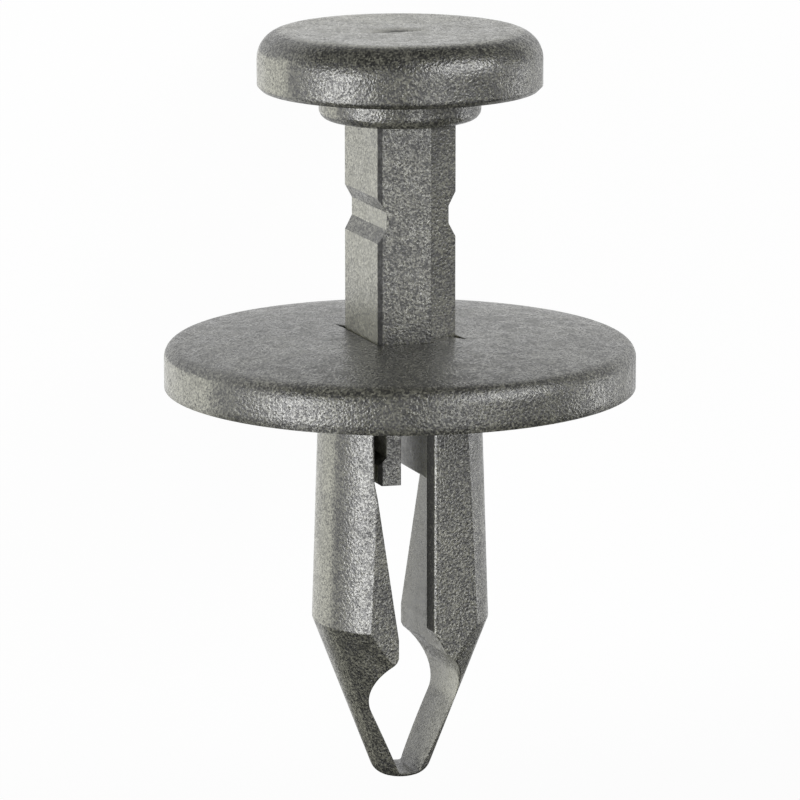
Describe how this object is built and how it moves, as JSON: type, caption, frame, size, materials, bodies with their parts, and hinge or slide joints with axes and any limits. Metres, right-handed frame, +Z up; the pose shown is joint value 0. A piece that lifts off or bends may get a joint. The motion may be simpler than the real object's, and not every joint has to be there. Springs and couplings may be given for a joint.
{
  "type": "plastic push rivet",
  "caption": "Push rivet for trim: flanged grommet with split ramped legs, spread by a round-headed push pin with notched, forked shank.",
  "frame": {"origin": "where the rivet's axis meets the flange face that seats on the panel", "axes": "+Z up as the rivet lies on a flat surface on the edges of its flange and head; +X runs along the lying rivet towards the pin's head, with the rivet's axis leaning 17.23 degrees below it; +Y is the way one leg spreads"},
  "size_m": [0.0323, 0.0198, 0.0194],
  "materials": {
    "grommet_plastic": "moulded, fine spark-eroded grain, slight sheen",
    "pin_plastic": "moulded, fine spark-eroded grain, slight sheen"
  },
  "bodies": {
    "grommet": {"grommet": "grommet_plastic"},
    "push_pin": {"push_pin": "pin_plastic"}
  },
  "joints": [
    {"name": "pin_push", "type": "slide", "parent": "grommet", "child": "push_pin", "axis": [-0.9551, 0, 0.2961], "range_m": [0, 0.0091], "deforming": ["grommet"]}
  ]
}
